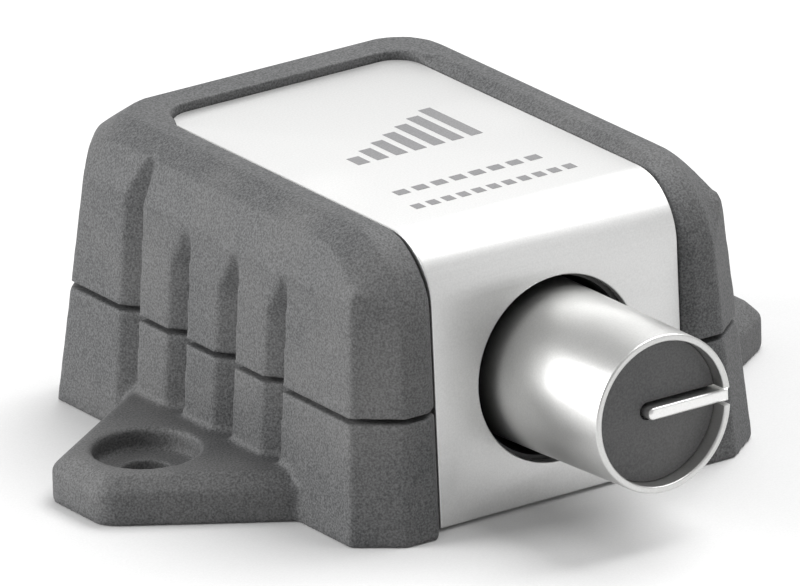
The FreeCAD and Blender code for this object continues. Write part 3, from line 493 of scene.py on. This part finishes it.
def point(tree, x=0.0, y=0.0, z=0.0):
    """Vector from numbers or outputs."""
    node = add(tree, "ShaderNodeCombineXYZ")
    for index, value in enumerate((x, y, z)):
        if isinstance(value, (int, float)):
            node.inputs[index].default_value = value
        else:
            tree.links.new(value, node.inputs[index])
    return node.outputs[0]


AXIS_RADIUS = 0.01 * MM      # what is turned stays this far from its axis, so no face has a zero side


def outline(tree, points, rounding, steps=4):
    """Closed curve through points, its corners rounded."""
    line = add(tree, "GeometryNodeMeshLine", mode="OFFSET", Count=len(points))
    place = add(tree, "GeometryNodeIndexSwitch", data_type="VECTOR")
    while len(place.index_switch_items) < len(points):
        place.index_switch_items.new()
    tree.links.new(add(tree, "GeometryNodeInputIndex").outputs[0], place.inputs[0])
    for index, value in enumerate(points):
        tree.links.new(value, place.inputs[index + 1])
    placed = add(tree, "GeometryNodeSetPosition", {0: line.outputs[0], "Position": place.outputs[0]})
    curve = add(tree, "GeometryNodeMeshToCurve", {0: placed.outputs[0]})
    closed = add(tree, "GeometryNodeSetSplineCyclic", {0: curve.outputs[0]}, Cyclic=True)
    soft = add(tree, "GeometryNodeFilletCurve", {0: closed.outputs[0], "Radius": rounding}, mode="POLY",
               Count=steps, Limit_Radius=True)
    return soft.outputs[0]


def turned(tree, profile, segments):
    """Solid of revolution: the profile's x is the radius and its -y the height."""
    circle = add(tree, "GeometryNodeCurvePrimitiveCircle", Resolution=segments, Radius=AXIS_RADIUS)
    body = add(tree, "GeometryNodeCurveToMesh", {"Curve": circle.outputs[0], "Profile Curve": profile})
    return body.outputs[0]


def cut(tree, body, tool):
    """Body with a tool's shape taken away."""
    node = add(tree, "GeometryNodeMeshBoolean", operation="DIFFERENCE", solver="EXACT")
    tree.links.new(body, node.inputs["Mesh 1"])
    tree.links.new(tool, node.inputs["Mesh 2"])
    return node.outputs[0]


def finish_tree(tree, given, out, geometry):
    """End a tree: make instances real and give them the finish."""
    whole = add(tree, "GeometryNodeRealizeInstances", {0: geometry})
    painted = add(tree, "GeometryNodeSetMaterial", {"Geometry": whole.outputs[0],
                                                    "Material": given["Finish"]})
    tree.links.new(painted.outputs[0], out[0])


def grown(name, tree, finish, sharp=35, **values):
    """Plain mesh object from a tree, with its named inputs set before it is first evaluated."""
    obj = link(bpy.data.objects.new(name, bpy.data.meshes.new(name)))
    modifier = obj.modifiers.new("rule", "NODES")
    modifier.node_group = tree
    values["Finish"] = finishes[finish]
    for item in tree.interface.items_tree:
        if item.in_out == "INPUT" and item.name.replace(" ", "_") in values:
            modifier[item.identifier] = values[item.name.replace(" ", "_")]
    baked(obj)
    obj.data.shade_smooth()
    obj.data.set_sharp_from_angle(angle=math.radians(sharp))
    return obj


# %% [markdown]
# ## The knob's barrel
# Outside it tapers slightly to the rim, and inside the rim a shoulder carries the dark cap. The pointer
# passes through a notch in the rim. Everything is drawn along +Z and then turned onto the leaning axis.

# %% A turned barrel with a notch
BARREL_SIDES = 160


def build_barrel_tree():
    tree, given, out = shape_tree("turned_barrel", {
        "Rim Radius": 8.17 * MM, "Back Radius": 8.6 * MM, "Hub Radius": 6.9 * MM, "Length": 18.0 * MM,
        "Tail": 4.5 * MM, "Rim Wall": 0.72 * MM, "Recess": 3.5 * MM, "Edge Round": 0.22 * MM,
        "Notch Width": 1.85 * MM, "Notch Depth": 2.95 * MM,
        "Centre": Vector((0, 0, 0)), "Turn": Vector((0, 0, 0))})
    front = math_node(tree, "MULTIPLY", given["Length"], -1.0)
    shoulder = math_node(tree, "ADD", front, given["Recess"])
    inside = math_node(tree, "SUBTRACT", given["Rim Radius"], given["Rim Wall"])
    profile = [point(tree, given["Hub Radius"], given["Tail"]),
               point(tree, given["Back Radius"], given["Tail"]),
               point(tree, given["Rim Radius"], front), point(tree, inside, front),
               point(tree, inside, shoulder), point(tree, given["Hub Radius"], shoulder)]
    barrel = turned(tree, outline(tree, profile, given["Edge Round"]), BARREL_SIDES)
    deep = math_node(tree, "MULTIPLY", given["Notch Depth"], 2.0)
    size = point(tree, given["Rim Radius"], given["Notch Width"], deep)
    block = add(tree, "GeometryNodeMeshCube", {"Size": size})
    place = point(tree, given["Rim Radius"], 0.0, given["Length"])
    notch = add(tree, "GeometryNodeTransform", {"Geometry": block.outputs[0], "Translation": place})
    notched = cut(tree, barrel, notch.outputs[0])
    turned_round = add(tree, "GeometryNodeTransform", {"Geometry": notched, "Translation": given["Centre"],
                                                       "Rotation": given["Turn"]})
    finish_tree(tree, given, out, turned_round.outputs[0])
    return tree


barrel = grown("knob_barrel_turned", build_barrel_tree(), "knob_metal", Centre=knob_centre,
               Turn=Vector((math.pi / 2 - lean, 0, 0)))
stand_for(barrel, "knob", "knob_barrel")

# %% [markdown]
# ## The screws that join the mouldings
# Four pan-head screws sit in deep seats in the underside. Only their cross-slotted heads show. One screw
# is made and set on the four corners of a rectangle, as instances on points.

# %% Four screws on the corners of a rectangle
SCREW_SIDES = 40
HEAD_RADIUS = 2.3 * MM


def build_screw_tree():
    tree, given, out = shape_tree("four_screws", {
        "Head Radius": HEAD_RADIUS, "Head Height": 1.6 * MM, "Shank Radius": 1.3 * MM, "Length": 20.2 * MM,
        "Cross Length": 2.6 * MM, "Cross Width": 0.6 * MM, "Cross Depth": 0.9 * MM, "Edge Round": 0.5 * MM,
        "Spacing X": 34.0 * MM, "Spacing Y": 34.8 * MM, "Middle": Vector((0, 0, 0))})
    head = math_node(tree, "MULTIPLY", given["Head Height"], -1.0)
    tip = math_node(tree, "MULTIPLY", given["Length"], -1.0)
    profile = [point(tree, AXIS_RADIUS, 0.0), point(tree, given["Head Radius"], 0.0),
               point(tree, given["Head Radius"], head), point(tree, given["Shank Radius"], head),
               point(tree, given["Shank Radius"], tip), point(tree, AXIS_RADIUS, tip)]
    screw = turned(tree, outline(tree, profile, given["Edge Round"]), SCREW_SIDES)
    deep = math_node(tree, "MULTIPLY", given["Cross Depth"], 2.0)
    for sides in (("Cross Length", "Cross Width"), ("Cross Width", "Cross Length")):
        size = point(tree, given[sides[0]], given[sides[1]], deep)
        block = add(tree, "GeometryNodeMeshCube", {"Size": size})
        screw = cut(tree, screw, block.outputs[0])
    corners = add(tree, "GeometryNodeMeshGrid", {"Size X": given["Spacing X"], "Size Y": given["Spacing Y"]},
                  Vertices_X=2, Vertices_Y=2)
    places = add(tree, "GeometryNodeTransform", {"Geometry": corners.outputs[0],
                                                 "Translation": given["Middle"]})
    screws = add(tree, "GeometryNodeInstanceOnPoints", {"Points": places.outputs[0], "Instance": screw})
    finish_tree(tree, given, out, screws.outputs[0])
    return tree


screws_low, screws_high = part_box("housing_screws")
screws = grown("housing_screws_cross", build_screw_tree(), "steel", Length=screws_high.z - screws_low.z,
               Spacing_X=screws_high.x - screws_low.x - 2 * HEAD_RADIUS,
               Spacing_Y=screws_high.y - screws_low.y - 2 * HEAD_RADIUS,
               Middle=Vector((0, (screws_low.y + screws_high.y) / 2, screws_low.z)))
stand_for(screws, "housing", "housing_screws")

# %% [markdown]
# ## The print on the plate
# The plate carries a grey print. Here it is a plain rising row of level bars with two rows of short
# dashes below it, which stand for nothing but loudness. Each row is one bar repeated along X, with a
# height that grows from the first bar to the last, and a film of ink is only a few hundredths thick.

# %% Rows of printed bars
def build_bars_tree():
    tree, given, out = shape_tree("printed_bars", {
        "Count": 7, "Pitch": 2.4 * MM, "Bar Width": 1.5 * MM, "First Height": 2.0 * MM,
        "Last Height": 9.0 * MM, "Ink": 0.02 * MM, "Start": Vector((0, 0, 0))})
    row = add(tree, "GeometryNodeMeshLine", {"Count": given["Count"], "Start Location": given["Start"],
                                             "Offset": point(tree, given["Pitch"])}, mode="OFFSET")
    index = add(tree, "GeometryNodeInputIndex").outputs[0]
    steps = math_node(tree, "SUBTRACT", given["Count"], 1.0)
    growth = math_node(tree, "DIVIDE", index, steps)
    height = add(tree, "ShaderNodeMapRange", {"Value": growth, "To Min": given["First Height"],
                                              "To Max": given["Last Height"]}).outputs["Result"]
    unit = add(tree, "GeometryNodeMeshCube")
    lifted = add(tree, "GeometryNodeTransform", {"Geometry": unit.outputs[0]}, Translation=(0, 0.5, 0.5))
    scale = point(tree, given["Bar Width"], height, given["Ink"])
    bars = add(tree, "GeometryNodeInstanceOnPoints", {"Points": row.outputs[0], "Instance": lifted.outputs[0],
                                                      "Scale": scale})
    finish_tree(tree, given, out, bars.outputs[0])
    return tree


bars_tree = build_bars_tree()
top = plate_high.z
rows = {
    "print_level_bars": dict(Count=7, Pitch=2.3 * MM, Bar_Width=1.45 * MM, First_Height=2.2 * MM,
                             Last_Height=9.4 * MM, Start=Vector((-6.4 * MM, -2.2 * MM, top))),
    "print_dashes_back": dict(Count=8, Pitch=2.3 * MM, Bar_Width=1.5 * MM, First_Height=1.3 * MM,
                              Last_Height=1.3 * MM, Start=Vector((-8.2 * MM, -11.9 * MM, top))),
    "print_dashes_front": dict(Count=11, Pitch=1.85 * MM, Bar_Width=1.15 * MM, First_Height=1.3 * MM,
                               Last_Height=1.3 * MM, Start=Vector((-9.2 * MM, -16.2 * MM, top))),
}
for name, values in rows.items():
    stand_for(grown(name, bars_tree, "plate_ink", **values), "housing")

# %% [markdown]
# ## Sizes
# The visual model must not outgrow the frame, so both boxes are printed side by side.

# %% Print both boxes and finish
visual_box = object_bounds()
as_lists = [[list(corner) for corner in box] for box in (frame_box, visual_box)]
for label, box in zip(("frame ", "visual"), as_lists):
    print(label, [[round(c / MM, 2) for c in corner] for corner in box])
